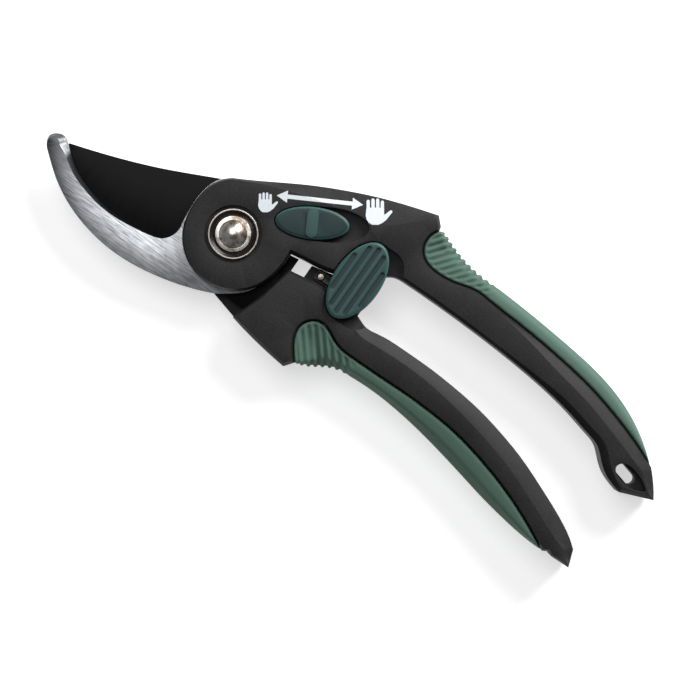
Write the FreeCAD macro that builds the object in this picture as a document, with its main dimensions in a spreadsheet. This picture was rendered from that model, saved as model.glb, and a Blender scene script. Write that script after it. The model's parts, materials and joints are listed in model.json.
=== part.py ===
import FreeCAD, Part
import math
import os

import Sketcher

# Bypass pruner lying on its back, millimetres. The pivot axis is Z, the handles run along +X, the
# blades along -X, and the back of the tool rests on Z = 0.

doc = FreeCAD.newDocument("bypass_pruner")
sheet = doc.addObject("Spreadsheet::Sheet", "dims")
drivingSizes = {
    # overall reach from the pivot axis
    "blade_reach": 63.9,
    "upper_reach": 151.0,
    "lower_reach": 141.5,
    "neck_reach": 50.0,
    # layers, from the back to the front
    "nut_height": 3.4,
    "washer_thickness": 0.8,
    "back_cheek": 3.0,
    "blade_thickness": 3.0,
    "blade_gap": 0.1,
    "hook_thickness": 3.2,
    "front_cheek": 4.5,
    "edge_drop": 1.6,
    "grip_sink": 0.5,
    "grip_shoulder": 3.6,
    # head and pivot
    "head_radius": 16.3,
    "head_shift": 1.1,
    "head_drop": 0.35,
    "hook_rim": 0.45,
    "cheek_radius": 16.3,
    "swing_gap": 0.7,
    "step_gap": 2.0,
    "bolt_radius": 3.0,
    "dome_radius": 4.35,
    "dome_height": 2.2,
    "flange_radius": 5.45,
    "flange_height": 0.6,
    "sleeve_wall": 1.45,
    "running_gap": 0.05,
    "cup_radius": 7.7,
    "cup_height": 0.9,
    "cup_recess_radius": 8.8,
    "cup_recess_depth": 1.4,
    "nut_width": 10.0,
    "back_washer_radius": 7.0,
    "open_angle": 30.0,
    # opening spring round the sleeve
    "wire_radius": 0.4,
    "coil_radius": 6.4,
    "spring_pocket": 2.2,
    "leg_angle": 30.0,
    # screws that hold the two tangs
    "screw_radius": 1.5,
    "screw_head_radius": 2.7,
    "screw_head_height": 1.9,
    "screw_sink": 0.4,
    "socket_width": 2.5,
    # clearances: a press fit, a seat, two layers, and a piece that slides in a slot
    "fit_gap": 0.02,
    "seat_gap": 0.05,
    "layer_gap": 0.1,
    "slide_gap": 0.2,
    # size slider
    "slider_length": 22.7,
    "slider_width": 10.0,
    "slider_travel": 5.7,
    "slider_angle": 29.2,
    "slider_x": 17.8,
    "slider_y": 16.45,
    "slider_floor": 1.5,
    "slider_proud": 0.9,
    "slider_gap": 0.35,
    "slider_rounding": 1.1,
    "ridge_width": 3.5,
    "ridge_height": 0.6,
    "stem_radius": 1.9,
    "keeper_length": 8.6,
    "keeper_width": 7.0,
    "keeper_thickness": 1.2,
    "slider_screw_radius": 1.0,
    "slider_screw_head_radius": 2.6,
    # lock button
    "lock_x": 39.0,
    "lock_y": 10.0,
    "lock_width": 14.6,
    "lock_length": 26.3,
    "lock_travel": 5.0,
    "lock_floor": 2.7,
    "lock_proud": 2.4,
    "lock_gap": 0.5,
    "lock_rounding": 1.0,
    "groove_pitch": 2.6,
    "groove_width": 1.5,
    "groove_depth": 0.7,
    "groove_border": 1.1,
    "stem_width": 3.0,
    "stem_back": 2.4,
    "stem_down": 5.3,
    "lug_level": 3.0,
    "catch_level": 9.0,
    "catch_thickness": 1.6,
    "catch_width": 3.2,
    "catch_reach": 27.3,
    "pin_radius": 0.9,
    "pin_proud": 0.8,
    "pin_inset": 1.8,
    "lock_screw_radius": 0.8,
    "lock_screw_head_radius": 1.7,
    "lock_screw_head_height": 1.5,
    # hanging slot at the end of the upper handle
    "hang_width": 3.6,
    "hang_length": 7.6,
    "hang_recess": 4.0,
}
for row, (alias, number) in enumerate(drivingSizes.items(), start=1):
    sheet.set(f"A{row}", str(number))
    sheet.setAlias(f"A{row}", alias)
doc.recompute()


def size(expression):
    return float(sheet.evalExpression(expression))


# Heights of the layers, as expressions that the features are bound to.
nutTop = "dims.nut_height"
cheekBack = f"({nutTop} + dims.washer_thickness)"
bladeBack = f"({cheekBack} + dims.back_cheek)"
bladeFront = f"({bladeBack} + dims.blade_thickness)"
hookBack = f"({bladeFront} + dims.blade_gap)"
hookFront = f"({hookBack} + dims.hook_thickness)"
face = f"({hookFront} + dims.front_cheek)"
bevelTop = f"({face} - dims.edge_drop)"
sleeveRadius = "(dims.bolt_radius + dims.running_gap + dims.sleeve_wall)"
cupSeat = f"({face} - dims.cup_recess_depth)"
sliderFloor = f"({hookFront} + dims.slider_floor)"
lockFloor = f"({face} - dims.lock_floor)"

# Outlines are closed rings of knots, anticlockwise. A knot is (x, y, bevel, isCorner), and the
# bevel is how far the edge there leans in at a face.
drawnUpperReach = 151.0
drawnLowerReach = 141.5
drawnNeck = 50.0
drawnBladeReach = 63.9
drawnHeel = 15.0


def vector(x, y, z=0.0):
    return FreeCAD.Vector(x, y, z)


def knot(x, y, bevel=1.0):
    return (x, y, bevel, False)


def corner(x, y, bevel=1.0):
    return (x, y, bevel, True)


def stretchedHandle(ring, reach, drawnReach):
    """Moves what lies beyond the neck, so that the handle ends at its reach."""
    neck = size("dims.neck_reach")
    scale = (reach - neck) / (drawnReach - drawnNeck)
    moved = []
    for x, y, bevel, isCorner in ring:
        along = neck + (x - drawnNeck) * scale if x > drawnNeck else x * neck / drawnNeck
        moved.append((along, y, bevel, isCorner))
    return moved


def stretchedBlade(ring):
    """Moves what lies beyond the heel, so that the blades end at their reach."""
    scale = (size("dims.blade_reach") - drawnHeel) / (drawnBladeReach - drawnHeel)
    moved = []
    for x, y, bevel, isCorner in ring:
        along = -drawnHeel + (x + drawnHeel) * scale if x < -drawnHeel else x
        moved.append((along, y, bevel, isCorner))
    return moved


def arcKnots(radius, startAngle, endAngle, count, centreX=0.0, centreY=0.0, bevel=1.0):
    """Knots on a round stretch, from one angle to the other."""
    knots = []
    for step in range(count):
        angle = math.radians(startAngle + (endAngle - startAngle) * step / (count - 1))
        knots.append(knot(centreX + radius * math.cos(angle), centreY + radius * math.sin(angle), bevel))
    return knots


def cornered(knots):
    """The same knots with a corner at each end."""
    first, *middle, last = knots
    return [corner(*first[:3])] + middle + [corner(*last[:3])]


def inset(ring, distance=None):
    """The ring moved inwards by each knot's bevel, or by one distance."""
    moved = []
    for index, (x, y, bevel, isCorner) in enumerate(ring):
        before = ring[index - 1]
        after = ring[(index + 1) % len(ring)]
        first = vector(before[1] - y, x - before[0], 0).normalize()
        second = vector(y - after[1], after[0] - x, 0).normalize()
        amount = bevel if distance is None else distance
        shift = (first + second) * (amount / (1 + first.dot(second)))
        moved.append((x + shift.x, y + shift.y, bevel, isCorner))
    return moved


def ringCurves(ring):
    """Lines and splines from corner to corner."""
    firstCorner = next(index for index, item in enumerate(ring) if item[3])
    ordered = ring[firstCorner:] + ring[:firstCorner + 1]
    curves = []
    stretch = [vector(ordered[0][0], ordered[0][1])]
    for x, y, _, isCorner in ordered[1:]:
        stretch.append(vector(x, y))
        if not isCorner:
            continue
        if len(stretch) == 2:
            curves.append(Part.LineSegment(stretch[0], stretch[1]))
        else:
            spline = Part.BSplineCurve()
            spline.interpolate(stretch)
            curves.append(spline)
        stretch = [stretch[-1]]
    return curves


def newBody(name):
    body = doc.addObject("PartDesign::Body", name)
    body.Label = name
    return body


def newSketch(body, name, plane="XY_Plane", level=None):
    sketch = body.newObject("Sketcher::SketchObject", name)
    support = next(item for item in body.Origin.OriginFeatures if item.Role == plane)
    sketch.AttachmentSupport = [(support, "")]
    sketch.MapMode = "FlatFace"
    if level is not None:
        sketch.setExpression("AttachmentOffset.Base.z", level)
    return sketch


def curveSketch(body, name, curves, level):
    sketch = newSketch(body, name, level=level)
    for curve in curves:
        sketch.addGeometry(curve, False)
    return sketch


def circleSketch(body, name, circles, level):
    """Circles at (x, y) with radii bound to expressions."""
    sketch = newSketch(body, name, level=level)
    for x, y, radius in circles:
        index = sketch.addGeometry(Part.Circle(vector(x, y), vector(0, 0, 1), size(radius)), False)
        sketch.addConstraint(Sketcher.Constraint("DistanceX", index, 3, x))
        sketch.addConstraint(Sketcher.Constraint("DistanceY", index, 3, y))
        number = sketch.addConstraint(Sketcher.Constraint("Radius", index, size(radius)))
        sketch.setExpression(f"Constraints[{number}]", radius)
    return sketch


def loft(body, name, sections):
    """Ruled loft through rings: sections are (ring, level) from the back to the front."""
    sketches = []
    for number, (ring, level) in enumerate(sections, start=1):
        sketches.append(curveSketch(body, f"{name}_section{number}", ringCurves(ring), level))
    feature = body.newObject("PartDesign::AdditiveLoft", name)
    feature.Profile = sketches[0]
    feature.Sections = sketches[1:]
    feature.Ruled = True
    feature.Refine = False
    doc.recompute()
    return feature


def pad(body, name, sketch, bottom, top):
    feature = body.newObject("PartDesign::Pad", name)
    feature.Profile = sketch
    feature.Refine = False
    feature.setExpression("Length", f"{top} - {bottom}")
    doc.recompute()
    return feature


def pocket(body, name, sketch, top, bottom):
    """Cuts downwards from a sketch at the top level, and fails if nothing is cut."""
    before = len(body.Shape.Faces)
    feature = body.newObject("PartDesign::Pocket", name)
    feature.Profile = sketch
    feature.Refine = False
    feature.setExpression("Length", f"{top} - {bottom}")
    doc.recompute()
    if len(body.Shape.Faces) == before:
        raise RuntimeError(f"{name} cuts nothing")
    return feature


def cutRing(body, name, ring, top, bottom):
    return pocket(body, name, curveSketch(body, f"{name}_outline", ringCurves(ring), top), top, bottom)


def cutCircles(body, name, circles, top, bottom):
    return pocket(body, name, circleSketch(body, f"{name}_circles", circles, top), top, bottom)


def rectangle(centreX, centreY, length, width, angle=0.0):
    """Ring of a turned rectangle."""
    along = vector(math.cos(math.radians(angle)), math.sin(math.radians(angle)))
    across = vector(-along.y, along.x)
    ring = []
    for lengthSide, widthSide in ((-1, -1), (1, -1), (1, 1), (-1, 1)):
        place = along * (lengthSide * length / 2) + across * (widthSide * width / 2)
        ring.append(corner(centreX + place.x, centreY + place.y))
    return ring


def slotCurves(centreX, centreY, length, width, angle):
    """Round-ended slot: its length counts the ends."""
    along = vector(math.cos(math.radians(angle)), math.sin(math.radians(angle)))
    across = vector(-along.y, along.x) * (width / 2)
    centre = vector(centreX, centreY)
    reach = along * (length / 2 - width / 2)
    tip = along * (length / 2)
    return [
        Part.LineSegment(centre - reach - across, centre + reach - across),
        Part.Arc(centre + reach - across, centre + tip, centre + reach + across),
        Part.LineSegment(centre + reach + across, centre - reach + across),
        Part.Arc(centre - reach + across, centre - tip, centre - reach - across),
    ]


def sweptOval(centreX, centreY, halfAlong, halfAcross, travel, angle):
    """Outline that an oval leaves when it slides along one of its own axes."""
    along = vector(math.cos(math.radians(angle)), math.sin(math.radians(angle)))
    across = vector(-along.y, along.x)
    start = vector(centreX, centreY)
    end = start + along * travel
    curves = []
    for centre, side in ((start, -1), (end, 1)):
        points = []
        for step in range(9):
            turn = math.pi * step / 8
            points.append(centre + across * (-side * halfAcross * math.cos(turn))
                          + along * (side * halfAlong * math.sin(turn)))
        half = Part.BSplineCurve()
        half.interpolate(points)
        curves.append(half)
    for side in (-1, 1):
        edge = across * (side * halfAcross)
        curves.append(Part.LineSegment(start + edge, end + edge))
    return curves


# ---------------------------------------------------------------- outlines

headX = size("dims.head_shift")
headY = -size("dims.head_drop")
headRadius = size("dims.head_radius")
neckCorner = corner(headX + headRadius + 0.35, 5.3)


def headKnots(grow, bevel):
    """Left and lower side of the head, from its top corner round to the right."""
    crown = [(-12.6, 11.4), (-14.4, 8.2), (-15.2, 4.2)]
    knots = [knot(x - grow, y + grow * 0.5, bevel) for x, y in crown]
    return knots + arcKnots(headRadius + grow, 182, 350, 8, headX, headY, bevel)


upperInner = [
    knot(24.5, 6.3), knot(31.0, 7.6), knot(38.0, 11.0), knot(44.5, 15.4), knot(47.4, 17.4),
    knot(51.5, 18.0), knot(60.0, 18.1), knot(75.0, 17.9), knot(90.0, 17.2), knot(105.0, 15.8, 1.6),
    knot(116.0, 13.9, 2.0), knot(123.0, 12.2, 2.0), knot(127.5, 10.8, 2.2), knot(130.4, 8.4, 2.4),
    knot(134.0, 5.5, 2.2), knot(138.0, 3.8, 1.6),
]
upperEnd = [corner(141.0, 3.0, 1.4), corner(151.0, 7.0, 1.4), knot(148.5, 10.5, 2.2)]
upperSeam = [
    corner(144.6, 14.8, 3.0), knot(135.0, 18.7, 3.8), knot(125.0, 21.8, 3.8), knot(115.0, 24.2, 3.7),
    knot(105.0, 25.7, 3.4), knot(95.0, 26.8, 2.4), knot(85.0, 27.5, 1.4), knot(76.0, 28.0, 0.8),
    knot(69.5, 28.1, 0.6), knot(65.0, 26.9, 0.6), knot(60.5, 26.0, 0.6), knot(55.5, 26.0, 0.6),
    knot(51.8, 27.3, 0.6), knot(49.6, 30.0, 0.6), knot(49.2, 33.0, 0.6), corner(50.7, 36.8, 0.6),
]
upperTop = [
    corner(47.9, 40.5), knot(40.0, 38.1, 5.2), knot(30.0, 34.6, 8.2), knot(20.0, 30.3, 6.0),
    knot(10.0, 25.3, 3.6),
]
flatTop = [item[:2] + (1.0, item[3]) for item in upperTop]
upperBackEnd = [corner(50.4, 38.0, 0.6)]
upperOuter = [
    corner(52.4, 37.5), knot(57.0, 35.7), knot(62.0, 34.2), knot(68.0, 33.2), knot(76.0, 32.8),
    knot(90.0, 32.0), knot(105.0, 30.6), knot(115.0, 29.2), knot(125.0, 26.6), knot(135.0, 22.0),
    knot(141.0, 17.9),
]

lowerInner = [
    knot(25.0, 1.6), knot(31.0, 2.5), knot(38.0, 2.6, 1.4), knot(44.5, 1.6, 2.6), knot(49.5, -0.1, 3.0),
    knot(54.0, 0.4, 3.5), knot(62.0, 0.9, 3.6), knot(72.0, 0.9, 3.7), knot(82.0, 0.3, 4.2),
    knot(92.0, -0.9, 4.7), knot(101.0, -2.8, 4.8), knot(110.0, -5.3, 4.8), knot(120.0, -9.1, 4.8),
    knot(130.0, -13.4, 4.7), knot(135.0, -16.0, 4.2),
]
lowerEnd = [
    corner(139.5, -19.2, 3.0), corner(141.5, -24.6, 0.8), corner(135.2, -24.8, 0.6),
    corner(133.6, -24.1, 0.6),
]
lowerSeam = [
    corner(132.0, -25.0, 0.6), knot(127.0, -22.5, 0.6), knot(120.0, -19.3, 0.6),
    knot(110.0, -15.6, 0.6), knot(100.0, -12.8, 0.6), knot(90.0, -10.8, 0.6), knot(80.0, -9.9, 0.6),
    knot(70.0, -9.7, 0.6), knot(60.0, -9.9, 0.6), knot(51.0, -10.0, 0.6), knot(45.5, -9.5, 0.6),
    knot(42.0, -8.0, 0.6), knot(39.0, -6.8, 0.6), knot(36.2, -6.9, 0.6), knot(33.8, -8.6, 0.6),
    knot(32.5, -11.8, 0.6), knot(33.3, -15.6, 0.6), knot(35.2, -18.6, 0.6), corner(37.5, -21.4, 0.6),
]
lowerOuter = [
    knot(40.5, -20.6), knot(44.5, -18.2), knot(48.5, -16.1), knot(54.0, -15.1), knot(61.0, -14.8),
    knot(68.0, -15.1), knot(77.0, -16.1), knot(88.0, -18.0), knot(98.0, -20.1), knot(108.0, -22.3),
    knot(118.0, -24.0), knot(126.0, -24.9),
]


def upperRing(start, top):
    """Upper handle outline: the left side given, then the inner edge, the end, the seam and the top."""
    ring = start + upperInner + upperEnd + upperSeam + upperBackEnd + top
    return stretchedHandle(ring, size("dims.upper_reach"), drawnUpperReach)


def gripRing(seam, outer, outerEnd, reach, drawnReach):
    """Soft grip between its seam and the outer side of the handle."""
    seamSide = [item[:2] + (0.3, item[3]) for item in seam]
    seamCurve = Part.BSplineCurve()
    seamCurve.interpolate([vector(x, y) for x, y, _, _ in seam])
    outerSide = []
    for x, y, _, isCorner in outer:
        depth = seamCurve.toShape().distToShape(Part.Vertex(x, y, 0))[0]
        outerSide.append((x, y, min(2.6, depth * 0.35), isCorner))
    return stretchedHandle(seamSide + outerSide + outerEnd, reach, drawnReach)


headTopCorner = corner(-10.0, 13.9, 0.6)
upperFrontRing = upperRing(
    [headTopCorner] + headKnots(0.0, 0.6) + [neckCorner], upperTop + [knot(0.0, 19.5, 1.4)])
swingRadius = size("dims.cheek_radius + dims.swing_gap")
upperBackRing = upperRing([corner(6.5, 23.35)] + cornered(arcKnots(swingRadius, 70, 17.5, 6)), flatTop)
upperGripRing = gripRing(
    upperSeam[::-1], upperOuter[:0:-1], [corner(52.4, 37.5, 1.2)], size("dims.upper_reach"), drawnUpperReach)

stepRadius = size("dims.head_radius + dims.head_shift + dims.step_gap")
stepKnots = [
    corner(stepRadius + 0.6, 0.8, 0.6), knot(stepRadius, -2.2, 0.6), knot(stepRadius - 0.9, -6.5, 0.6),
    knot(stepRadius - 2.1, -11.6, 0.6), knot(stepRadius - 3.8, -16.6, 0.6),
    corner(stepRadius - 5.1, -20.8, 0.6), knot(25.0, -22.9), corner(35.4, -24.2),
]
lowerRing = stretchedHandle(
    stepKnots + lowerSeam[::-1] + lowerEnd[::-1] + lowerInner[::-1],
    size("dims.lower_reach"), drawnLowerReach)
lowerGripRing = gripRing(lowerSeam, lowerOuter, [], size("dims.lower_reach"), drawnLowerReach)
cheekRadius = size("dims.cheek_radius")
cheekRing = [corner(stepRadius - 2.4, 4.8), corner(cheekRadius * 0.974, cheekRadius * 0.225)]
cheekRing += arcKnots(cheekRadius, 25, 250, 10)
cheekRing += [
    corner(-1.0, -cheekRadius - 0.6), corner(5.3, -18.35), corner(stepRadius - 5.1, -20.7),
    corner(stepRadius + 4.0, -21.5), corner(stepRadius + 4.0, 0.4), corner(stepRadius + 0.9, 0.4),
    corner(stepRadius + 0.9, 5.3),
]

# Anvil hook: outer edge, tip lobe, inner edge, then the root and tang under the front cheek.
hookTang = [
    corner(-9.4, 13.9, 0.1), corner(2.0, 18.6, 0.1), corner(34.0, 32.6, 0.1), corner(35.5, 24.0, 0.1),
    corner(26.5, 11.5, 0.1), corner(15.6, 7.0, 0.1), knot(16.4, 1.0, 0.1), knot(16.0, -5.5, 0.1),
    knot(13.7, -11.4, 0.1), knot(11.0, -14.2, 0.1),
]
hookRing = stretchedBlade(([
    corner(5.0, -18.3, 0.3), knot(-2.0, -21.1, 0.3), knot(-10.0, -23.4, 0.3), knot(-20.0, -25.1, 0.3),
    knot(-30.0, -25.3, 0.3), knot(-40.0, -23.6, 0.3), knot(-50.0, -19.8, 0.3), knot(-56.5, -15.7, 0.3),
    knot(-61.0, -12.1, 0.3), knot(-63.4, -9.4, 0.4), knot(-63.7, -7.2, 0.8), knot(-62.3, -5.6, 1.4),
    knot(-60.3, -4.9, 2.0), corner(-58.2, -5.7, 2.6), knot(-55.5, -8.0, 1.7), knot(-50.0, -11.8, 1.3),
    knot(-45.0, -13.7, 1.2), knot(-40.0, -15.0, 1.0), knot(-35.0, -15.6, 0.9), knot(-28.0, -15.4, 0.6),
    knot(-21.0, -14.6, 0.3), knot(-17.2, -13.2, 0.2), knot(-15.2, -10.4, 0.2), corner(-15.1, -6.4, 0.2),
    knot(-15.6, -1.0, 0.1), knot(-15.65, 4.0, 0.1), knot(-14.8, 8.4, 0.1), knot(-12.9, 11.8, 0.1),
] + hookTang)[::-1])

# Cutting blade: back edge, short tip, convex cutting edge, then the round root and the tang.
bladeRoot = [knot(-5.0, -14.4, 0.1), knot(2.0, -15.6, 0.1), knot(9.0, -16.9, 0.1)]
bladeTang = [
    corner(15.5, -16.9, 0.1), corner(31.2, -16.0, 0.1), corner(31.2, -4.0, 0.1),
    corner(19.0, -3.0, 0.1), knot(15.2, 3.5, 0.1), knot(11.4, 10.6, 0.1), knot(4.4, 15.0, 0.1),
    knot(-2.5, 15.8, 0.1),
]
bladeRing = stretchedBlade([
    corner(-7.5, 14.5, 0.2), knot(-15.0, 11.0, 0.2), knot(-30.0, 4.0, 0.2), knot(-45.0, -1.8, 0.2),
    corner(-57.6, -5.9, 0.2), corner(-57.1, -8.9, 1.5), knot(-53.0, -12.3, 3.6), knot(-47.0, -15.7, 4.6),
    knot(-40.0, -18.2, 4.8), knot(-32.0, -19.4, 4.8), knot(-24.0, -18.8, 4.4), knot(-17.5, -16.6, 3.0),
    corner(-12.5, -13.4, 0.6),
] + bladeRoot + bladeTang)


# ---------------------------------------------------------------- turned and plain pieces


def turned(name, profile, arcs=()):
    """Body turned about the pivot axis from a closed (radius, height) profile; arcs name the legs
    that bulge, as {leg: (radius, height)} of a point on the arc."""
    body = newBody(name)
    sketch = newSketch(body, f"{name}_profile", plane="XZ_Plane")
    for leg, (start, end) in enumerate(zip(profile, profile[1:] + profile[:1])):
        if leg in arcs:
            curve = Part.Arc(vector(*start), vector(*arcs[leg]), vector(*end))
        else:
            curve = Part.LineSegment(vector(*start), vector(*end))
        sketch.addGeometry(curve, False)
    feature = body.newObject("PartDesign::Revolution", f"{name}_turn")
    feature.Profile = sketch
    feature.ReferenceAxis = (sketch, ["V_Axis"])
    feature.Angle = 360.0
    doc.recompute()
    return body


def cylinder(name, radius, bottom, top, x="0", y="0"):
    """Upright cylinder bound to expressions."""
    shape = doc.addObject("Part::Cylinder", name)
    shape.setExpression("Radius", radius)
    shape.setExpression("Height", f"{top} - {bottom}")
    shape.setExpression("Placement.Base.x", x)
    shape.setExpression("Placement.Base.y", y)
    shape.setExpression("Placement.Base.z", bottom)
    return shape


def cut(name, base, tool):
    shape = doc.addObject("Part::Cut", name)
    shape.Base = base
    shape.Tool = tool
    return shape


def ringPiece(name, outer, inner, bottom, top):
    """Flat ring about the pivot axis."""
    disc = cylinder(f"{name}_disc", outer, bottom, top)
    shape = cut(name, disc, cylinder(f"{name}_hole", inner, bottom, top))
    shape.Label = name
    return shape


def tangScrew(name, x, y, top):
    """Socket screw that goes in from the back and ends at a tang's far face."""
    seat = "dims.screw_sink"
    headTop = f"({seat} + dims.screw_head_height)"
    head = cylinder(f"{name}_head", "dims.screw_head_radius", seat, headTop, x, y)
    shank = cylinder(f"{name}_shank", "dims.screw_radius", headTop, top, x, y)
    whole = doc.addObject("Part::Fuse", f"{name}_whole")
    whole.Base = head
    whole.Tool = shank
    socket = doc.addObject("Part::Prism", f"{name}_socket")
    socket.Polygon = 6
    socket.setExpression("Circumradius", "dims.socket_width / 1.732")
    socket.setExpression("Height", "dims.screw_head_height * 0.6")
    socket.setExpression("Placement.Base.x", x)
    socket.setExpression("Placement.Base.y", y)
    socket.setExpression("Placement.Base.z", seat)
    return cut(name, whole, socket)


def group(name, pieces):
    shape = doc.addObject("Part::Compound", name)
    shape.Links = pieces
    shape.Label = name
    return shape


# ---------------------------------------------------------------- sliding pieces, places

sliderAngle = size("dims.slider_angle")
sliderAlong = vector(math.cos(math.radians(sliderAngle)), math.sin(math.radians(sliderAngle)))
sliderX = size("dims.slider_x")
sliderY = size("dims.slider_y")
sliderTravel = size("dims.slider_travel")
sliderMiddleX = sliderX + sliderAlong.x * sliderTravel / 2
sliderMiddleY = sliderY + sliderAlong.y * sliderTravel / 2
lockX = size("dims.lock_x")
lockY = size("dims.lock_y")
lockTravel = size("dims.lock_travel")
lockGap = size("dims.lock_gap")
lockOval = sweptOval(lockX, lockY, size("dims.lock_width") / 2 + lockGap,
                     size("dims.lock_length") / 2 + lockGap, lockTravel, 0.0)
stemX = lockX - size("dims.stem_back")
stemY = lockY - size("dims.stem_down")
stemWidth = size("dims.stem_width")
layerGap = size("dims.layer_gap")
slide = size("dims.slide_gap")
upperScrews = [(9.8, 19.8), (30.6, 27.0)]
lowerScrews = [(23.2, -6.8), (27.6, -12.6)]

# ---------------------------------------------------------------- upper handle

upperHandle = newBody("upper_handle")
loft(upperHandle, "upper_back_block", [
    (inset(upperBackRing), "0"), (upperBackRing, "dims.edge_drop"), (upperBackRing, hookFront)])
cutRing(upperHandle, "hook_seat", inset(hookRing, distance=-size("dims.seat_gap")), hookFront, hookBack)
loft(upperHandle, "upper_front_shell", [
    (upperFrontRing, hookFront), (upperFrontRing, bevelTop), (inset(upperFrontRing), face)])
cutCircles(upperHandle, "cup_recess", [(0, 0, "dims.cup_recess_radius")], face, cupSeat)
cutCircles(upperHandle, "front_pivot_hole", [(0, 0, f"{sleeveRadius} + dims.running_gap")], cupSeat, hookFront)
sliderGap = size("dims.slider_gap")
sliderRecess = sweptOval(sliderX, sliderY, size("dims.slider_length") / 2 + sliderGap,
                         size("dims.slider_width") / 2 + sliderGap, sliderTravel, sliderAngle)
pocket(upperHandle, "slider_recess", curveSketch(upperHandle, "slider_recess_outline", sliderRecess, face),
       face, sliderFloor)
stemSlotWidth = 2 * (size("dims.stem_radius") + slide)
stemSlot = slotCurves(sliderMiddleX, sliderMiddleY, stemSlotWidth + sliderTravel, stemSlotWidth, sliderAngle)
pocket(upperHandle, "stem_slot", curveSketch(upperHandle, "stem_slot_outline", stemSlot, sliderFloor),
       sliderFloor, hookFront)
pocket(upperHandle, "upper_lock_relief", curveSketch(upperHandle, "upper_relief_outline", lockOval, face),
       face, lockFloor)
upperScrewHoles = [(x, y, "dims.screw_radius + dims.fit_gap") for x, y in upperScrews]
cutCircles(upperHandle, "upper_screw_holes", upperScrewHoles, hookBack, "0")
upperSinks = [(x, y, "dims.screw_head_radius + dims.fit_gap") for x, y in upperScrews]
cutCircles(upperHandle, "upper_screw_sinks", upperSinks, "(dims.screw_sink + dims.screw_head_height)", "0")
springLevel = f"({bladeBack} - dims.spring_pocket)"
legAngle = size("dims.leg_angle")
legReach = swingRadius + 1.8
legNotch = rectangle(legReach * math.cos(math.radians(legAngle)), legReach * math.sin(math.radians(legAngle)),
                     4.4, 4 * size("dims.wire_radius"), legAngle)
cutRing(upperHandle, "spring_leg_notch", legNotch, bladeBack, springLevel)
teardrop = stretchedHandle([
    corner(147.4, 7.9), knot(144.6, 9.8), knot(140.5, 11.2), knot(136.9, 10.8), knot(135.7, 9.0),
    knot(137.2, 6.9), knot(140.3, 6.0), knot(144.2, 6.2)], size("dims.upper_reach"), drawnUpperReach)
cutRing(upperHandle, "hang_recess_front", teardrop, face, f"({face} - dims.hang_recess)")
cutRing(upperHandle, "hang_recess_back", teardrop, "dims.hang_recess", "0")
hangAngle = -14.0
hangX = stretchedHandle([knot(139.7, 8.6)], size("dims.upper_reach"), drawnUpperReach)[0][0]
hangSlot = slotCurves(hangX, 8.7, size("dims.hang_length"), size("dims.hang_width"), hangAngle)
pocket(upperHandle, "hang_slot", curveSketch(upperHandle, "hang_slot_outline", hangSlot, face), face, "0")

# ---------------------------------------------------------------- lower handle

lowerHandle = newBody("lower_handle")
loft(lowerHandle, "lower_block", [
    (inset(lowerRing), "0"), (lowerRing, "dims.edge_drop"), (lowerRing, bevelTop), (inset(lowerRing), face)])
pad(lowerHandle, "back_cheek_plate",
    curveSketch(lowerHandle, "back_cheek_outline", ringCurves(cheekRing), cheekBack), cheekBack, bladeBack)
cutRing(lowerHandle, "blade_seat", inset(bladeRing, distance=-size("dims.seat_gap")), hookBack, bladeBack)
lugBottom = "dims.lug_level"
lugRight = lockX + size("dims.lock_width") / 2 - 1.2
lugRing = [
    corner(32.8, 0.5), corner(lugRight, 0.0), corner(lugRight, 14.0), corner(44.2, 13.7),
    corner(38.0, 9.7), corner(32.8, 7.0),
]
pocket(lowerHandle, "lower_lock_relief", curveSketch(lowerHandle, "lower_relief_outline", lockOval, face),
       face, lockFloor)
pad(lowerHandle, "lock_lug", curveSketch(lowerHandle, "lock_lug_outline", ringCurves(lugRing), lugBottom),
    lugBottom, lockFloor)
catchBottom = "dims.catch_level"
catchTop = f"({catchBottom} + dims.catch_thickness)"
channelBottom = f"({catchBottom} - dims.layer_gap)"
channelTop = f"({catchTop} + dims.layer_gap)"
catchReach = size("dims.catch_reach")
catchEnd = stemX + stemWidth / 2 + 0.6
catchWidth = size("dims.catch_width")
# Ledge under the catch, which leaves the window beside the head open.
ledgeRing = [
    corner(catchReach - 2.5, 0.5), corner(33.6, 0.5), corner(33.6, 8.2), corner(31.0, 7.25),
    corner(catchReach - 2.5, 6.0),
]
pad(lowerHandle, "catch_ledge",
    curveSketch(lowerHandle, "catch_ledge_outline", ringCurves(ledgeRing), lugBottom), lugBottom, channelBottom)
channelRing = rectangle((catchReach + catchEnd + lockTravel) / 2, stemY,
                        catchEnd - catchReach + lockTravel + 2 * slide, catchWidth + 2 * layerGap)
cutRing(lowerHandle, "catch_channel", channelRing, channelTop, channelBottom)
pinX = catchReach + size("dims.pin_inset")
pinRadius = size("dims.pin_radius")
pinTop = f"({catchTop} + dims.pin_proud)"
pinRoom = 2 * (pinRadius + slide)
pinChannel = rectangle(pinX + lockTravel / 2, stemY, pinRoom + lockTravel, pinRoom)
cutRing(lowerHandle, "pin_channel", pinChannel, f"({pinTop} + dims.slide_gap)", channelBottom)
stemMiddle = stemX + lockTravel / 2
slotLength = stemWidth + lockTravel + 2 * slide
cutRing(lowerHandle, "lock_stem_slot",
        rectangle(stemMiddle, stemY, slotLength, stemWidth - 0.2), lockFloor, channelTop)
screwRoom = 2 * (size("dims.lock_screw_head_radius") + slide)
cutRing(lowerHandle, "lock_screw_slot",
        rectangle(stemMiddle, stemY, screwRoom + lockTravel, screwRoom), channelBottom, lugBottom)
lowerScrewHoles = [(x, y, "dims.screw_radius + dims.fit_gap") for x, y in lowerScrews]
cutCircles(lowerHandle, "lower_screw_holes", lowerScrewHoles, bladeBack, "0")
lowerSinks = [(x, y, "dims.screw_head_radius + dims.fit_gap") for x, y in lowerScrews]
cutCircles(lowerHandle, "lower_screw_sinks", lowerSinks, "(dims.screw_sink + dims.screw_head_height)", "0")
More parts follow.
